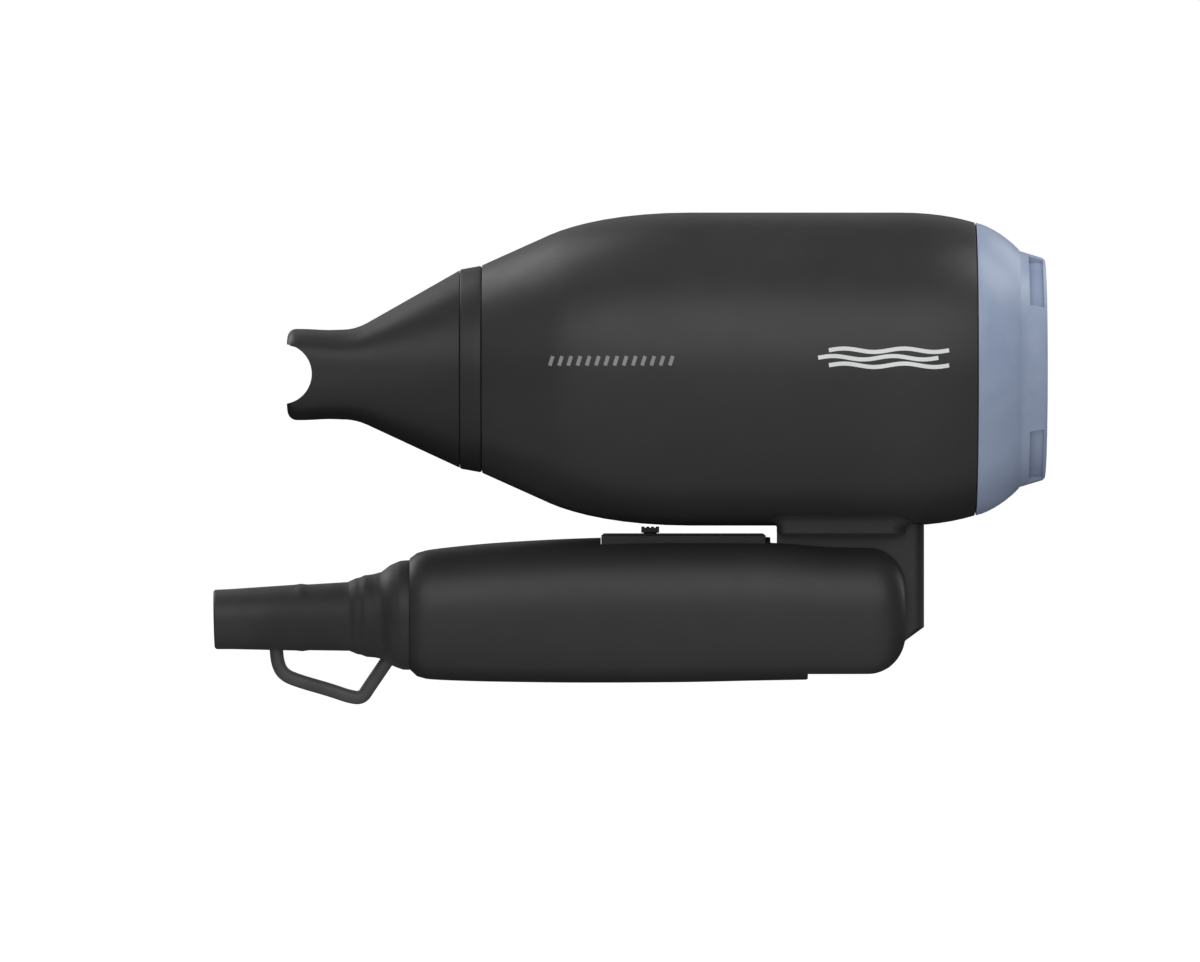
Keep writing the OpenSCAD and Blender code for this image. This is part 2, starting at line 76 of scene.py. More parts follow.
class Graph:
    """A short way to write a material's node tree."""

    def __init__(self, name):
        self.material = bpy.data.materials.new(name)
        self.material.use_nodes = True
        self.tree = self.material.node_tree
        self.tree.nodes.clear()
        self.out = self.node("ShaderNodeOutputMaterial")
        self.shader = self.node("ShaderNodeBsdfPrincipled")
        self.link(self.shader.outputs[0], self.out.inputs["Surface"])
        self.place = self.node("ShaderNodeTexCoord").outputs["Object"]

    def node(self, kind, **settings):
        made = self.tree.nodes.new(kind)
        for key, value in settings.items():
            setattr(made, key, value)
        return made

    def link(self, a, b):
        self.tree.links.new(a, b)

    def put(self, socket, value):
        """Links an output to an input, or sets the input's value."""
        if hasattr(value, "is_output"):
            self.link(value, socket)
        else:
            socket.default_value = value

    def stretched(self, scale, offset=(0, 0, 0)):
        m = self.node("ShaderNodeMapping")
        self.link(self.place, m.inputs["Vector"])
        m.inputs["Scale"].default_value = scale
        m.inputs["Location"].default_value = offset
        return m.outputs[0]

    def noise(self, scale, detail=3.0, rough=0.55, vector=None):
        n = self.node("ShaderNodeTexNoise")
        self.link(vector or self.place, n.inputs["Vector"])
        n.inputs["Scale"].default_value = scale
        n.inputs["Detail"].default_value = detail
        n.inputs["Roughness"].default_value = rough
        return n.outputs["Fac"]

    def cells(self, scale, feature="F1", vector=None):
        n = self.node("ShaderNodeTexVoronoi", feature=feature)
        self.link(vector or self.place, n.inputs["Vector"])
        n.inputs["Scale"].default_value = scale
        return n.outputs["Distance"]

    def remap(self, value, low, high, to_low, to_high):
        n = self.node("ShaderNodeMapRange")
        self.link(value, n.inputs["Value"])
        for key, v in (("From Min", low), ("From Max", high), ("To Min", to_low),
                       ("To Max", to_high)):
            n.inputs[key].default_value = v
        return n.outputs[0]

    def math(self, kind, a, b):
        n = self.node("ShaderNodeMath", operation=kind)
        self.put(n.inputs[0], a)
        self.put(n.inputs[1], b)
        return n.outputs[0]

    def mix(self, factor, a, b):
        n = self.node("ShaderNodeMix", data_type="RGBA")
        self.put(n.inputs[0], factor)
        self.put(n.inputs[6], a)
        self.put(n.inputs[7], b)
        return n.outputs[2]

    def bump(self, height, depth, normal=None):
        n = self.node("ShaderNodeBump")
        self.link(height, n.inputs["Height"])
        n.inputs["Strength"].default_value = 1.0
        n.inputs["Distance"].default_value = depth
        if normal is not None:
            self.link(normal, n.inputs["Normal"])
        return n.outputs[0]

    def set(self, **values):
        for key, value in values.items():
            self.put(self.shader.inputs[key.replace("_", " ")], value)


def rgba(color, k=1.0):
    """The colour at k times its brightness, opaque."""
    return (color[0] * k, color[1] * k, color[2] * k, 1.0)


def moulded(name, color, rough, grain_mm=0.28, grain_depth=0.006, wear=0.35, specular=0.5,
            tint=None, **extra):
    """Moulded plastic: fine spark-eroded grain, faint flow variation, rubbed edges."""
    g = Graph(name)
    flow = g.noise(28, 4)
    patch = g.noise(140, 3, 0.6)
    base = g.mix(g.remap(flow, 0.3, 0.7, 0.0, 1.0), rgba(color, 0.88), rgba(color, 1.12))
    if tint is not None:
        base = g.mix(g.remap(patch, 0.35, 0.75, 0.0, 0.35), base, rgba(tint))
    edge = g.node("ShaderNodeBevel", samples=3)
    edge.inputs["Radius"].default_value = 0.35 * MM
    flat = g.node("ShaderNodeNewGeometry")
    turn = g.node("ShaderNodeVectorMath", operation="DOT_PRODUCT")
    g.link(edge.outputs[0], turn.inputs[0])
    g.link(flat.outputs["Normal"], turn.inputs[1])
    rubbed = g.math("MULTIPLY", g.remap(turn.outputs["Value"], 0.99, 0.8, 0.0, wear),
                    g.remap(g.noise(420, 4), 0.35, 0.6, 0.2, 1.0))
    lighter = tuple(min(1.0, c * 1.6 + 0.02) for c in color)
    base = g.mix(rubbed, base, rgba(lighter))
    fine = g.noise(1000 / grain_mm, 2, 0.6)
    pits = g.cells(1000 / (grain_mm * 2.2), "SMOOTH_F1")
    height = g.math("ADD", g.math("MULTIPLY", fine, 0.6), g.math("MULTIPLY", pits, 0.7))
    scuff = g.noise(60, 5, 0.7, g.stretched((3.0, 22.0, 22.0)))
    uneven = g.math("ADD", g.remap(patch, 0.3, 0.7, rough - 0.03, rough + 0.03),
                    g.remap(scuff, 0.56, 0.72, 0.0, 0.05))
    g.set(Base_Color=base, Roughness=g.math("SUBTRACT", uneven, g.math(
        "MULTIPLY", rubbed, 0.12)), Normal=g.bump(height, grain_depth * MM),
        Specular_IOR_Level=specular, **extra)
    return g.material


def metal(name, color, rough, along=(1, 0, 0), heat=None):
    """Drawn or plated metal with fine lines along one direction."""
    g = Graph(name)
    scale = tuple(6.0 if a else 90.0 for a in along)
    lines = g.noise(40, 4, 0.6, g.stretched(scale))
    patch = g.noise(90, 3)
    base = g.mix(g.remap(lines, 0.35, 0.65, 0.0, 1.0), rgba(color, 0.8), rgba(color, 1.08))
    if heat is not None:
        base = g.mix(g.remap(patch, 0.4, 0.65, 0.0, 0.8), base, rgba(heat))
    g.set(Base_Color=base, Metallic=1.0,
          Roughness=g.remap(patch, 0.3, 0.7, rough - 0.06, rough + 0.08),
          Normal=g.bump(lines, 0.008 * MM))
    return g.material


def mica_sheet(name):
    """Pressed mica: layered flakes with a dull pearl."""
    g = Graph(name)
    flakes = g.cells(260, "F1")
    veins = g.noise(70, 5, 0.65)
    base = g.mix(g.remap(flakes, 0.0, 0.9, 0.0, 1.0), rgba((0.5, 0.42, 0.28)),
                 rgba((0.66, 0.58, 0.42)))
    base = g.mix(g.remap(veins, 0.45, 0.7, 0.0, 0.5), base, rgba((0.3, 0.2, 0.1)))
    g.set(Base_Color=base, Roughness=g.remap(flakes, 0.0, 0.9, 0.35, 0.6),
          Normal=g.bump(flakes, 0.03 * MM), Sheen_Weight=0.15)
    return g.material


def rubbery(name, color, rough):
    """Soft plastic: dull, with a slight bloom and pressed marks."""
    g = Graph(name)
    bloom = g.noise(55, 5, 0.62)
    pores = g.noise(2600, 2)
    base = g.mix(g.remap(bloom, 0.4, 0.68, 0.0, 1.0), rgba(color, 0.85), rgba(color, 1.25))
    g.set(Base_Color=base, Roughness=g.remap(bloom, 0.35, 0.7, rough + 0.05, rough - 0.06),
          Normal=g.bump(pores, 0.008 * MM), Specular_IOR_Level=0.4, Sheen_Weight=0.06,
          Sheen_Roughness=0.5)
    return g.material


def plain_board(name, color, track):
    """Circuit board: solder mask over faint tracks."""
    g = Graph(name)
    weave = g.cells(700, "F1")
    tracks = g.cells(230, "DISTANCE_TO_EDGE")
    base = g.mix(g.remap(tracks, 0.02, 0.06, 1.0, 0.0), rgba(color), rgba(track))
    g.set(Base_Color=base, Roughness=0.35, Normal=g.bump(weave, 0.01 * MM),
          Coat_Weight=0.3, Coat_Roughness=0.2)
    return g.material


BLACK = (0.021, 0.021, 0.0215)
MATERIALS = {
    "shell": moulded("satin_black", BLACK, 0.42),
    "handle": moulded("satin_black_handle", BLACK, 0.44),
    "nozzle": moulded("heat_black", (0.0125, 0.0125, 0.013), 0.46, grain_mm=0.35),
    "trim": moulded("matt_black", (0.011, 0.011, 0.0112), 0.5, wear=0.5),
    "inner": moulded("inner_grey", (0.02, 0.02, 0.021), 0.55),
    "intake": moulded("pearl_blue", (0.228, 0.28, 0.395), 0.38, grain_depth=0.003, wear=0.2,
                      tint=(0.27, 0.33, 0.44), Coat_Weight=0.2, Coat_Roughness=0.3),
    "fan": moulded("light_grey", (0.42, 0.43, 0.44), 0.4, wear=0.1),
    "nylon": moulded("natural_nylon", (0.62, 0.6, 0.52), 0.45, wear=0.0),
    "capacitor": moulded("yellow_case", (0.55, 0.34, 0.05), 0.35, wear=0.1),
    "cable": moulded("wire_cover", (0.05, 0.06, 0.25), 0.4, wear=0.0),
    "print_white": moulded("white_print", (0.62, 0.63, 0.63), 0.5, wear=0.0),
    "print_grey": moulded("grey_print", (0.2, 0.2, 0.2), 0.5, wear=0.0),
    "boot": rubbery("boot_black", (0.019, 0.019, 0.0195), 0.5),
    "loop": rubbery("loop_grey", (0.05, 0.05, 0.051), 0.5),
    "steel": metal("plated_steel", (0.62, 0.62, 0.64), 0.3),
    "coil": metal("resistance_wire", (0.45, 0.42, 0.38), 0.38, heat=(0.25, 0.17, 0.12)),
    "mica": mica_sheet("mica"),
    "board": plain_board("green_board", (0.02, 0.12, 0.05), (0.06, 0.24, 0.1)),
}

FINISH = {
    "barrel_shell_left": "shell", "barrel_shell_right": "shell", "hinge_neck": "shell",
    "outlet_grille": "inner", "heater_tube": "mica", "heater_board_flat": "mica",
    "heater_board_upright": "mica", "heater_coil": "coil", "thermostat": "steel",
    "thermal_fuse": "steel", "fan_duct": "inner", "motor": "steel",
    "motor_rectifier": "board", "motor_leads": "cable", "motor_shaft": "steel",
    "fan": "fan", "intake_cap": "intake", "intake_grille": "intake",
    "lint_filter": "steel", "hinge_pin": "steel", "hinge_washers": "nylon",
    "nozzle_collar": "nozzle", "concentrator": "nozzle", "handle_shell_left": "handle",
    "handle_shell_right": "handle", "handle_screws": "steel", "switch_plate": "trim",
    "switch_body": "inner", "switch_carrier": "nylon", "switch_knob": "trim",
    "suppressor_capacitor": "capacitor", "handle_wiring": "cable", "cord_clamp": "inner",
    "clamp_screws": "steel", "cord_boot": "boot", "hanging_loop": "loop",
}

for name, o in nodes.items():
    o.data.materials.clear()
    o.data.materials.append(MATERIALS[FINISH[name]])


# ---------------------------------------------------------------- mesh tools


def made(name, points, faces):
    """A linked object from points in millimetres."""
    data = bpy.data.meshes.new(name)
    data.from_pydata([tuple(c * MM for c in p) for p in points], [], faces)
    data.validate()
    o = bpy.data.objects.new(name, data)
    scene.collection.objects.link(o)
    return o


def skinned(name, rings, closed=False):
    """A closed skin over equally long rings of points, capped unless the row is a loop."""
    n, last = len(rings[0]), len(rings) - 1
    faces = []
    for i in range(len(rings) if closed else last):
        j = (i + 1) % len(rings)
        faces += [(i * n + k, i * n + (k + 1) % n, j * n + (k + 1) % n, j * n + k)
                  for k in range(n)]
    if not closed:
        faces += [tuple(range(n - 1, -1, -1)), tuple(range(last * n, last * n + n))]
    o = made(name, [p for ring in rings for p in ring], faces)
    outward(o.data)
    return o


def outward(data):
    """Turns every face's normal to the outside."""
    mesh = bmesh.new()
    mesh.from_mesh(data)
    bmesh.ops.recalc_face_normals(mesh, faces=mesh.faces)
    mesh.to_mesh(data)
    mesh.free()


def block(x0, x1, y0, y1, z0, z1):
    """A box between two corners."""
    return skinned("cutter", [[(x, y0, z0), (x, y1, z0), (x, y1, z1), (x, y0, z1)]
                              for x in (x0, x1)])


def rod(start, end, r, sides=64):
    """A cylinder between two points."""
    a, b = Vector(start), Vector(end)
    turn = (b - a).to_track_quat("Z", "Y").to_matrix()
    circle = [turn @ Vector((r * math.cos(t), r * math.sin(t), 0))
              for t in (2 * math.pi * k / sides for k in range(sides))]
    return skinned("cutter", [[tuple(c + end) for c in circle] for end in (a, b)])


def carved(o, tools, operation="DIFFERENCE"):
    """Cuts the tools out of a piece, or joins them to it, and removes them."""
    group = bpy.data.collections.new("tools")
    scene.collection.children.link(group)
    for tool in tools:
        scene.collection.objects.unlink(tool)
        group.objects.link(tool)
    cut = o.modifiers.new("cut", "BOOLEAN")
    cut.operation = operation
    cut.solver = "EXACT"
    cut.operand_type = "COLLECTION"
    cut.collection = group
    result = bpy.data.meshes.new_from_object(
        o.evaluated_get(bpy.context.evaluated_depsgraph_get()))
    o.modifiers.clear()
    o.data = result
    for tool in tools:
        bpy.data.objects.remove(tool)
    bpy.data.collections.remove(group)
    return o


def finished(o, body, finish, round_mm=0.0, replaces=()):
    """Gives a new piece its material, rounded edges, shading and body."""
    o.data.materials.clear()
    o.data.materials.append(MATERIALS[finish])
    mesh = bmesh.new()
    mesh.from_mesh(o.data)
    bmesh.ops.remove_doubles(mesh, verts=mesh.verts, dist=MERGE_MM * MM)
    bmesh.ops.dissolve_degenerate(mesh, edges=mesh.edges, dist=SLIVER_MM * MM)
    mesh.to_mesh(o.data)
    mesh.free()
    for face in o.data.polygons:
        face.use_smooth = True
    o.data.set_sharp_from_angle(angle=math.radians(SHARP_ANGLE))
    if round_mm:
        rounded(o, round_mm)
    o.modifiers.new("normals", "WEIGHTED_NORMAL").keep_sharp = True
    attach(o, body)
    if replaces:
        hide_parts(*replaces)


def rounded(o, width_mm, angle=SHARP_ANGLE):
    """Bevels the edges that are sharper than the angle."""
    bevel = o.modifiers.new("edges", "BEVEL")
    bevel.width = width_mm * MM
    bevel.segments = 2
    bevel.limit_method = "ANGLE"
    bevel.angle_limit = math.radians(angle)
    bevel.use_clamp_overlap = True


def power_curve(value, power):
    return math.copysign(abs(value) ** (2 / power), value)


def section(x, top, bottom, half_width, power, angles):
    """Points of a superellipse across X, at the given angles."""
    middle, half = (top + bottom) / 2, (top - bottom) / 2
    return [(x, half_width * power_curve(math.cos(a), power),
             middle + half * power_curve(math.sin(a), power)) for a in angles]


def all_round(count):
    """Evenly spaced angles, none of them on an axis."""
    return [2 * math.pi * (i + 0.5) / count for i in range(count)]


def flowing(stations, spacing):
    """Stations filled in along smooth curves that don't overshoot."""
    table = np.array(stations, float)
    x, y = table[:, 0], table[:, 1:]
    step = np.diff(x)
    slope = np.diff(y, axis=0) / step[:, None]
    bend = np.zeros_like(y)
    bend[0], bend[-1] = slope[0], slope[-1]
    for k in range(1, len(x) - 1):
        same = slope[k - 1] * slope[k] > 0
        w1, w2 = 2 * step[k] + step[k - 1], step[k] + 2 * step[k - 1]
        with np.errstate(divide="ignore", invalid="ignore"):
            mean = (w1 + w2) / (w1 / slope[k - 1] + w2 / slope[k])
        bend[k] = np.where(same, mean, 0)
    rows = []
    for k in range(len(step)):
        pieces = max(1, round(step[k] / spacing))
        for t in np.arange(pieces) / pieces:
            rows.append([x[k] + t * step[k], *(
                (2 * t ** 3 - 3 * t ** 2 + 1) * y[k] + (3 * t ** 2 - 2 * t ** 3) * y[k + 1]
                + (t ** 3 - 2 * t ** 2 + t) * step[k] * bend[k]
                + (t ** 3 - t ** 2) * step[k] * bend[k + 1])])
    rows.append(list(table[-1]))
    return rows


# ---------------------------------------------------------------- concentrator

MOUTH_Z = AXIS - 1.3
MOUTH_X = -80.5
NOTCH_R = 7.0
NOTCH_X = MOUTH_X - 1.1
NOZZLE_NECK_X = -64.7  # where the flat mouth starts to widen into the cone
CONE_END_X = -40.3
CONE_R = 23.2
SOCKET_X = -43.9  # bottom of the socket that fits over the collar's spigot
SOCKET_R = 20.1
NECK_POWER = 3.6


def blended(ring_a, ring_b, share):
    return [tuple(p + (q - p) * share for p, q in zip(a, b)) for a, b in zip(ring_a, ring_b)]


def funnel(lip, neck_x, base_x, base_r, power, angles, fillet=3.0):
    """Rings of a flat mouth that opens into a round base, with a soft bend at the neck."""
    rings = [section(x, MOUTH_Z + h, MOUTH_Z - h, w, p, angles) for x, h, w, p in lip]
    top, half_w = lip[-1][1], lip[-1][2]
    base = section(base_x, AXIS + base_r, AXIS - base_r, base_r, 2, angles)
    neck = section(neck_x, MOUTH_Z + top, MOUTH_Z - top, half_w, power, angles)
    length = base_x - neck_x
    steps = 30
    for i in range(1, steps + 1):
        x = neck_x - fillet + (length + fillet) * i / steps
        run = x - neck_x
        rise = (run + fillet) ** 2 / (4 * fillet) if run < fillet else run
        ring = blended(neck, base, rise / length)
        rings.append([(x, y, z) for _, y, z in ring])
    return rings


def concentrator():
    """A hollow funnel; each lip row is [x, half height, half width, power]."""
    angles = all_round(144)
    outer_lip = [(MOUTH_X + 1.9 * (1 - math.cos(t)), 8.7 + 2.0 * math.sin(t),
                  25.4 + 1.6 * math.sin(t), 4) for t in
                 (math.pi / 2 * i / 6 for i in range(7))]
    outer_lip += [tuple(r) for r in flowing(
        [(-77.3, 10.7, 27, 4), (-75.5, 10.65, 27, 3.95), (-71, 10.45, 27, 3.8),
         (-67.7, 10.55, 27, NECK_POWER)], 0.9)]
    inner_lip = [tuple(r) for r in flowing(
        [(-81.6, 8.8, 26, 4), (-80, 7.7, 25.5, 4), (-78.4, 7.1, 25.2, 4),
         (-72, 7.2, 25.2, 4), (-67.7, 8.2, 25.1, NECK_POWER)], 0.9)]
    o = skinned("concentrator_moulding", funnel(
        outer_lip, NOZZLE_NECK_X, CONE_END_X, CONE_R, NECK_POWER, angles))
    hollow = skinned("cutter", funnel(
        inner_lip, NOZZLE_NECK_X, SOCKET_X + 0.1, SOCKET_R - 0.05, NECK_POWER, angles))
    socket = rod((SOCKET_X, 0, AXIS), (SOCKET_X + 5, 0, AXIS), SOCKET_R, 96)
    notch = rod((NOTCH_X, -40, MOUTH_Z), (NOTCH_X, 40, MOUTH_Z), NOTCH_R, 96)
    for tool in (hollow, socket, notch):
        carved(o, [tool])
    finished(o, "concentrator", "nozzle", 0.22, ["concentrator"])


concentrator()


# ---------------------------------------------------------------- handle

TONGUE_GAP = 6.6  # half width of the slot that the hinge tongue turns in
SLOT_FRONT = 32.7
SLOT_FLOOR = 7.7
SLOT_OPEN_FROM = 41.5  # from here rearward the slot goes through the underside
PLATE_X = (-7.1, 31.7)  # opening for the switch plate
PLATE_HALF = 7.1
PLATE_SEAT = 37.2
BOOT_Z = 21.05
BOOT_BORE_R = 8.2
PIN_BORE_R = 2.55
SCREWS = [(-33, 12.6), (4, 12.3), (26, 31)]  # [x, z]
SCREW_HEAD_R = 3.0
SCREW_R = 1.25
HANDLE_POWER = 2.15
KNUCKLE_X = 55.6  # where the handle's round end starts
KNUCKLE_R = 8.8


def with_power(stations, power):
    """Adds the superellipse power to each station."""
    return [[*s, power] for s in stations]


def handle_stations():
    """[x, top, bottom, half width, power] of the handle's outside."""
    grip = flowing([[-52, 34.3, 8.2, 12.6], [-50.3, 35.6, 6.6, 13.9], [-48.2, 36.2, 6, 14.5],
                    [-44, 36.8, 5.7, 14.8], [-30, 38.1, 5.3, 15.2], [-10, 39.1, 5.1, 15.5],
                    [10, 39.5, 5.2, 15.6], [30, 39.4, 5.6, 15.5],
                    [41, 38.7, 5.8, 15.4]], 1.5)
    top, bottom, half_width = 38.1, 5.9, 15.2
    knuckle = flowing([[41.35, 38.65, bottom, 15.38], [48, 38.2, bottom, 15.3],
                       [KNUCKLE_X, top, bottom, half_width]], 1.6)
    steps = 14
    for i in range(1, steps + 1):
        t = math.pi / 2 * i / steps
        drop = 1 - math.cos(t)
        knuckle.append([KNUCKLE_X + KNUCKLE_R * math.sin(t), top - KNUCKLE_R * drop,
                        bottom + KNUCKLE_R * drop, half_width - 6 * drop])
    return with_power(grip + knuckle, HANDLE_POWER)


def handle_cavity(post_r):
    """The hollow inside, with the screw posts left standing in it."""
    stations = flowing([[-49.9, 33.1, 9.1, 11.8], [-44, 34.7, 7.8, 12.7],
                        [-30, 36, 7.4, 13.1], [-10, 37, 7.2, 13.4], [10, 37.4, 7.3, 13.5],
                        [31, 37.4, 7.7, 13.4]], 4)
    o = skinned("cutter", [section(*s, all_round(64))
                           for s in with_power(stations, HANDLE_POWER + 0.1)])
    return carved(o, [rod((x, -16, z), (x, 16, z), post_r, 40) for x, z in SCREWS])


def handle_shell(side):
    """One half of the handle; side is -1 for -Y and 1 for +Y."""
    name = "handle_cover_left" if side < 0 else "handle_cover_right"
    seam = 0.03 * side
    post_r = 4.0 if side > 0 else 3.2
    count = 76
    angles = [math.pi * (i / count - 0.5) for i in range(count + 1)]
    rings = [[(x, side * y + seam, z) for x, y, z in section(*station, angles)]
             for station in handle_stations()]
    o = skinned(name, rings)
    carved(o, [handle_cavity(post_r)])
    carved(o, [block(SLOT_FRONT, 70, -TONGUE_GAP, TONGUE_GAP, SLOT_FLOOR, 45)])
    carved(o, [block(SLOT_OPEN_FROM, 70, -TONGUE_GAP, TONGUE_GAP, 0, 10),
               block(*PLATE_X, -PLATE_HALF, PLATE_HALF, PLATE_SEAT, 45),
               rod((-60, 0, BOOT_Z), (-46, 0, BOOT_Z), BOOT_BORE_R)])
    holes = [rod((PIVOT[0], -11.2, PIVOT[1]), (PIVOT[0], 11.2, PIVOT[1]), PIN_BORE_R)]
    if side > 0:
        holes += [rod((x, 8, z), (x, 20, z), SCREW_HEAD_R, 48) for x, z in SCREWS]
    carved(o, holes)
    carved(o, [rod((x, -9, z), (x, 9, z), SCREW_R, 24) for x, z in SCREWS])
    node = "handle_shell_left" if side < 0 else "handle_shell_right"
    finished(o, "handle", "handle", 0.22, [node])


handle_shell(-1)
handle_shell(1)


# ---------------------------------------------------------------- hinge neck

NECK_FRONT = 34.3
SPINE_REAR = 68.8
BLOCK_REAR = 64.6
BLOCK_HALF = 11.0
BLOCK_BASE = 40.0
REAR_CORNER_R = 4.5
FRONT_CORNER_R = 2.5
TONGUE_TOP = 46.0
TONGUE_R = 15.05  # round end of the tongue, about the pin
TONGUE_FRONT_LOW = (NECK_FRONT, 19.8)  # [x, z] where the straight front ends
TONGUE_REAR_LOW = (SPINE_REAR, 18.2)
TONGUE_SWEEP = (195.4, 328.8)  # degrees of the round end between those two


def neck_plan(grow, steps=8):
    """The block's outline from above, [x, y], grown outward; its rear corners are rounder."""
    front, rear, half = NECK_FRONT, BLOCK_REAR, BLOCK_HALF
    points = []
    for x, y, r, start in (
            (rear, half, REAR_CORNER_R, 0), (front, half, FRONT_CORNER_R, 90),
            (front, -half, FRONT_CORNER_R, 180), (rear, -half, REAR_CORNER_R, 270)):
        cx = x - r if x == rear else x + r
        cy = math.copysign(abs(y) - r, y)
        for k in range(steps + 1):
            a = math.radians(start + 90 * k / steps)
            points.append((cx + (r + grow) * math.cos(a), cy + (r + grow) * math.sin(a)))
    return points


def neck_block(fillet=2.2):
    """The part between the barrel and the tongue; a fillet widens it up to the barrel."""
    def under(y):
        return AXIS - math.sqrt(BARREL_R ** 2 - y ** 2)
    rings = [[(x, y, BLOCK_BASE) for x, y in neck_plan(-0.7)],
             [(x, y, BLOCK_BASE + 0.2) for x, y in neck_plan(-0.2)],
             [(x, y, BLOCK_BASE + 0.6) for x, y in neck_plan(0)]]
    steps, sweep = 7, 78
    for k in range(steps + 1):
        t = math.radians(sweep * k / steps)
        lowest = BLOCK_BASE + 1.7 + 0.1 * k
        rings.append([(x, y, max(under(y) - fillet * (1 - math.sin(t)), lowest))
                      for x, y in neck_plan(fillet * (1 - math.cos(t)))])
    rings.append([(x, y, under(y) + 0.8) for x, y in neck_plan(fillet * 0.9)])
    return skinned("neck_moulding", rings)


def neck_tongue(half=6.0, r=3.0):
    """The plate that turns between the handle's cheeks, its rear edges rounded."""
    start, end = TONGUE_SWEEP
    steps = 30
    sweep = [math.radians(start + (end - start) * k / steps) for k in range(steps + 1)]
    arc = [(PIVOT[0] + TONGUE_R * math.cos(a), PIVOT[1] + TONGUE_R * math.sin(a))
           for a in sweep]
    outline = [(NECK_FRONT, TONGUE_TOP), TONGUE_FRONT_LOW, *arc, TONGUE_REAR_LOW,
               (SPINE_REAR, TONGUE_TOP)]
    rings = []
    for i in range(-7, 8):
        turn = max(0.0, (abs(i) - 1) / 6) * math.pi / 2
        if abs(i) > 1:
            y = math.copysign(half - r + r * math.sin(turn), i)
            limit = SPINE_REAR - r * (1 - math.cos(turn))
        else:
            y, limit = i * (half - r), SPINE_REAR
        rings.append([(min(x, limit), y, z) for x, z in outline])
    return skinned("tongue", rings)


def hinge_neck():
    """Block and tongue in one, shaped to the barrel, with a plug through the barrel's wall."""
    o = neck_block()
    carved(o, [neck_tongue()], "UNION")
    carved(o, [rod((20, 0, AXIS), (80, 0, AXIS), BARREL_R + 0.02, 192)])
    carved(o, [block(38.2, 64.8, -5, 5, 41.5, 45.4)], "UNION")
    carved(o, [rod((PIVOT[0], -8, PIVOT[1]), (PIVOT[0], 8, PIVOT[1]), 2.5, 48)])
    finished(o, "barrel", "shell", 0.3, ["hinge_neck"])


hinge_neck()


# ---------------------------------------------------------------- hanging loop


def corner_cut(path, times):
    """Rounds a path by cutting its corners, keeping its ends."""
    for _ in range(times):
        inner = []
        for a, b in zip(path, path[1:]):
            inner += [a.lerp(b, 0.25), a.lerp(b, 0.75)]
        path = [path[0], *inner, path[-1]]
    return path


def tube(name, path, r, sides):
    """A round bar along a path in the plane Y = 0."""
    rings = []
    for i, p in enumerate(path):
        along = (path[min(i + 1, len(path) - 1)] - path[max(i - 1, 0)]).normalized()
        up = along.cross(Vector((0, 1, 0)))
        rings.append([tuple(p + up * r * math.cos(a) + Vector((0, r * math.sin(a), 0)))
                      for a in (2 * math.pi * k / sides for k in range(sides))])
    return skinned(name, rings)


def hanging_loop():
    """The loop's corner points are the CAD's, raised so that the bar rests on Z = 0."""
    r = 1.6
    corners = [(-83.4, 16), (-83.3, 10), (-81.8, 6.6), (-77.8, 5), (-70.7, 3), (-66, 1.35),
               (-63.2, 1.1), (-61.6, 3.6), (-56.4, 11.2), (-55.2, 13.2)]
    path = corner_cut([Vector((x, 0, z)) for x, z in corners], 2)
    rise = r - min(p.z for p in path)
    path = corner_cut([p + Vector((0, 0, rise)) for p in path], 1)
    finished(tube("loop_bar", path, r, 24), "handle", "loop", 0, ["hanging_loop"])


hanging_loop()


# ---------------------------------------------------------------- lint mesh


def lathed(name, profile, steps=96):
    """A closed ring around the barrel axis from a profile of [radius, x]."""
    rings = [[(x, r * math.cos(t), AXIS + r * math.sin(t)) for r, x in profile]
             for t in (2 * math.pi * k / steps for k in range(steps))]
    return skinned(name, rings, closed=True)


def lint_mesh():
    """A fine woven wire disc in a thin frame."""
    low, high = (corner.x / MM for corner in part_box("lint_filter"))
    ring_in, ring_out = 22.6, 24.45
    frame_ring = lathed("lint_frame", [(ring_in, low), (ring_out, low), (ring_out, high),
                                       (ring_in, high)])
    finished(frame_ring, "barrel", "inner", 0.15, ["lint_filter"])
    pitch, wire_r, reach, rise, sides = 1.6, 0.16, 22.9, 0.17, 5
    count = int(reach / pitch)
    points, faces = [], []
    for across in (0, 1):
        for i in range(-count, count + 1):
            offset = i * pitch
            half = math.sqrt(reach ** 2 - offset ** 2)
            steps = max(4, round(4 * half / pitch))
            first = len(points)
            for k in range(steps + 1):
                s = -half + 2 * half * k / steps
                wave = rise * math.cos(math.pi * (s / pitch + i + across))
                x = (low + high) / 2 + wave
                for j in range(sides):
                    a = 2 * math.pi * j / sides
                    u = offset + wire_r * math.cos(a)
                    y, z = (s, u) if across else (u, s)
                    points.append((x + wire_r * math.sin(a), y, AXIS + z))
            for k in range(steps):
                ring = first + sides * k
                for j in range(sides):
                    a, b = ring + j, ring + (j + 1) % sides
                    faces.append((a, b, b + sides, a + sides))
            faces.append(tuple(first + j for j in range(sides - 1, -1, -1)))
            faces.append(tuple(first + sides * steps + j for j in range(sides)))
    wires = made("lint_wires", points, faces)
    outward(wires.data)
    finished(wires, "barrel", "steel")


lint_mesh()


# ---------------------------------------------------------------- printed marks


def near_side():
    """Finds the point of the barrel's -Y side at a given X and Z, in millimetres."""
    o = nodes["barrel_shell_left"]
    tree = BVHTree.FromPolygons([v.co for v in o.data.vertices],
                                [p.vertices for p in o.data.polygons])

    def find(x, z, lift):
        hit, normal, _, _ = tree.ray_cast(Vector((x * MM, -0.1, z * MM)), Vector((0, 1, 0)))
        outer = Vector((normal.x, min(normal.y, -normal.y), normal.z))
        return tuple((hit + outer * lift * MM) / MM)
    return find


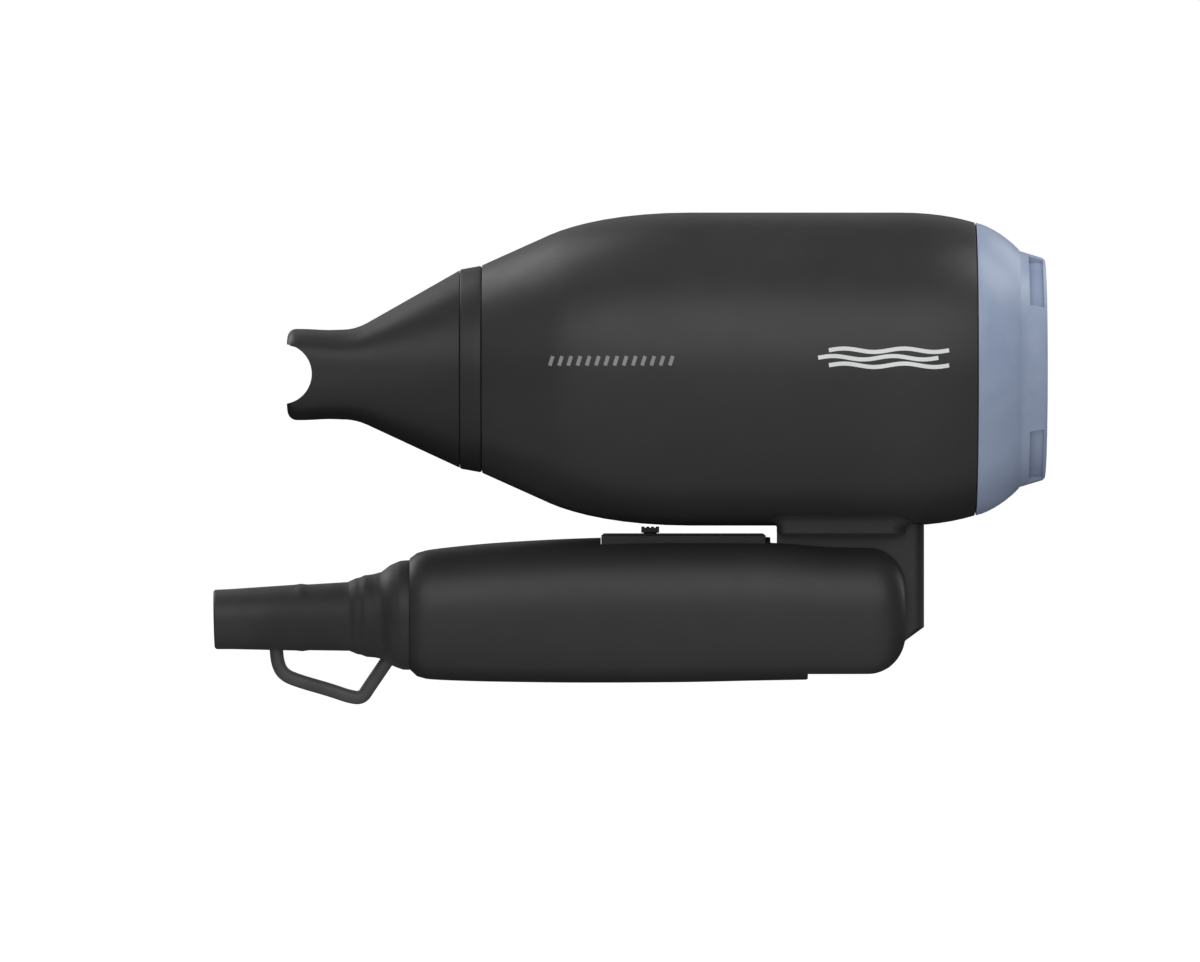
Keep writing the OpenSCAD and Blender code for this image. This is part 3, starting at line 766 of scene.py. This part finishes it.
def printed(name, strokes, width, finish, sunk=-0.05, raised=0.03):
    """Thin raised strokes on the barrel; a stroke is a row of [x, z] points."""
    find = near_side()
    points, faces = [], []
    for stroke in strokes:
        first = len(points)
        for i, (x, z) in enumerate(stroke):
            a, b = stroke[max(i - 1, 0)], stroke[min(i + 1, len(stroke) - 1)]
            run = Vector((b[0] - a[0], b[1] - a[1])).normalized() * width / 2
            for side, lift in ((1, sunk), (1, raised), (-1, raised), (-1, sunk)):
                points.append(find(x - side * run.y, z + side * run.x, lift))
        for i in range(len(stroke) - 1):
            for j in range(4):
                a, b = first + 4 * i + j, first + 4 * i + (j + 1) % 4
                faces.append((a, b, b + 4, a + 4))
        faces.append((first + 3, first + 2, first + 1, first))
        end = first + 4 * (len(stroke) - 1)
        faces.append((end, end + 1, end + 2, end + 3))
    o = made(name, points, faces)
    outward(o.data)
    finished(o, "barrel", finish)


def airflow_mark(middle=81.2, row_gap=1.75, swing=0.4, steps=48):
    """Three stacked waves, a plain sign for moving air."""
    strokes = []
    for row, (start, end) in enumerate([(46, 74), (43.5, 71.5), (46, 74)]):
        strokes.append([(start + (end - start) * k / steps,
                         middle + row_gap * (row - 1)
                         + swing * math.sin(4 * math.pi * k / steps))
                        for k in range(steps + 1)])
    printed("airflow_print", strokes, 0.95, "print_white")


def tick_row(count=14, first_x=-19, pitch=2.15, low=79.4, height=2.2, slant=0.7):
    """A row of small slanted ticks."""
    strokes = [[(first_x + pitch * i + slant * t, low + height * t) for t in (0, 0.5, 1)]
               for i in range(count)]
    printed("tick_print", strokes, 0.85, "print_grey")


airflow_mark()
tick_row()


# ---------------------------------------------------------------- CAD nodes kept


def softened(o, width_mm, angle=38):
    """Rounds a carried-over node's sharp edges and evens its shading."""
    weld = o.modifiers.new("weld", "WELD")
    weld.merge_threshold = 2e-6
    if width_mm:
        rounded(o, width_mm, angle)
    o.modifiers.new("normals", "WEIGHTED_NORMAL").keep_sharp = True


# Edge rounding in millimetres; nodes not listed keep their sharp edges.
EDGES = {
    "barrel_shell_left": 0.15, "barrel_shell_right": 0.15,
    "nozzle_collar": 0.2, "intake_cap": 0.3, "intake_grille": 0.2, "switch_plate": 0.3,
    "switch_knob": 0.15, "cord_boot": 0.15,
}
for name, o in nodes.items():
    softened(o, EDGES.get(name, 0.0))


# ---------------------------------------------------------------- stage


# The floor is half a millimetre below the tip of the opened handle, so no pose reaches it.
FLOOR_Z = PIVOT[1] - (PIVOT[0] - cad_low[0] / MM) - 0.5


def studio_bowl(flat=5.0, bend=1.6, height=6.0, steps=96):
    """A pale round floor that curves up beyond every camera, kept out of reflections."""
    profile = [(1.0, 0.0), (flat, 0.0)]
    arc_steps = 16
    for i in range(1, arc_steps + 1):
        a = math.pi / 2 * i / arc_steps
        profile.append((flat + bend * math.sin(a), bend * (1 - math.cos(a))))
    profile.append((flat + bend, height))
    turns = [2 * math.pi * k / steps for k in range(steps)]
    points = [(r * math.cos(t) / MM, r * math.sin(t) / MM, FLOOR_Z + z / MM)
              for r, z in profile for t in turns]
    faces = [tuple(range(steps))]
    for i in range(len(profile) - 1):
        faces += [(i * steps + k, i * steps + (k + 1) % steps,
                   (i + 1) * steps + (k + 1) % steps, (i + 1) * steps + k)
                  for k in range(steps)]
    o = made("studio_bowl", points, faces)
    outward(o.data)
    for face in o.data.polygons:
        face.use_smooth = True
    o.visible_glossy = False
    o.visible_diffuse = False
    o.visible_shadow = False
    g = Graph("pale_paper")
    fibre = g.noise(900, 3)
    g.set(Base_Color=g.mix(fibre, rgba((0.9, 0.9, 0.9)), rgba((0.93, 0.93, 0.93))),
          Roughness=0.85, Specular_IOR_Level=0.1, Emission_Color=rgba((1, 1, 1)),
          Emission_Strength=0.45)
    o.data.materials.append(g.material)


studio_bowl()
TARGET = Vector((0.0, 0.0, 0.065))  # what the lights point at, in metres


def softbox(name, toward, distance, size, radiance):
    """A soft rectangle in the direction toward, seen from the object at a given brightness."""
    data = bpy.data.lights.new(name, "AREA")
    data.shape = "RECTANGLE"
    data.size, data.size_y = size
    data.energy = radiance * math.pi * size[0] * size[1]
    o = bpy.data.objects.new(name, data)
    direction = Vector(toward).normalized()
    o.location = TARGET + direction * distance
    o.rotation_mode = "QUATERNION"
    o.rotation_quaternion = (-direction).to_track_quat("-Z", "Y")
    o.visible_camera = False
    scene.collection.objects.link(o)


def elevated(degrees):
    """A direction on the camera's side, this many degrees above level."""
    a = math.radians(degrees)
    return (0, -math.cos(a), math.sin(a))


# Name, direction, distance, [width, height] and radiance; distances in metres.
softbox("key", elevated(31), 1.2, (1.9, 0.96), 1.45)
softbox("front_top", elevated(84), 1.3, (2.4, 0.8), 0.18)
softbox("front_low", elevated(-33), 1.2, (2.6, 1.5), 0.4)
softbox("under", elevated(-86), 1.2, (2.4, 0.8), 0.32)
softbox("shoulder", (-0.5, 0.42, 0.76), 1.2, (0.7, 0.8), 2.1)
softbox("intake_top", (0.62, 0.1, 0.78), 1.2, (0.5, 0.7), 3.0)
softbox("rear", (0, 0.85, 0.5), 1.5, (2.4, 0.8), 0.3)
for side in (-1, 1):
    softbox("rear_side", (0.7 * side, 0.6, 0.38), 1.3, (0.9, 0.9), 1.1)


def pale_surround(nadir=0.5, zenith=0.85):
    """Even light from all round, a little stronger from above, kept out of reflections."""
    world = bpy.data.worlds.new("studio")
    scene.world = world
    world.use_nodes = True
    world.cycles_visibility.glossy = False
    tree = world.node_tree
    tree.nodes.clear()
    out = tree.nodes.new("ShaderNodeOutputWorld")
    sky = tree.nodes.new("ShaderNodeBackground")
    place = tree.nodes.new("ShaderNodeTexCoord")
    split = tree.nodes.new("ShaderNodeSeparateXYZ")
    height = tree.nodes.new("ShaderNodeMapRange")
    tree.links.new(place.outputs["Generated"], split.inputs[0])
    tree.links.new(split.outputs["Z"], height.inputs["Value"])
    height.inputs["From Min"].default_value = -1.0
    height.inputs["To Min"].default_value = nadir
    height.inputs["To Max"].default_value = zenith
    tree.links.new(height.outputs[0], sky.inputs["Strength"])
    tree.links.new(sky.outputs[0], out.inputs["Surface"])


def side_camera(distance=4.0, view_width=0.282, x=-0.0073, z=0.0525):
    """A level camera on the -Y side, far off, that sees view_width metres across."""
    camera = bpy.data.cameras.new("camera")
    camera.sensor_width = 36.0
    camera.lens = camera.sensor_width * distance / view_width
    camera.clip_start, camera.clip_end = 0.05, 20
    o = bpy.data.objects.new("camera", camera)
    o.location = (x, -distance, z)
    o.rotation_euler = (math.pi / 2, 0, 0)
    scene.collection.objects.link(o)
    scene.camera = o


pale_surround()
side_camera()
scene.view_settings.view_transform = "Standard"
scene.view_settings.look = "None"
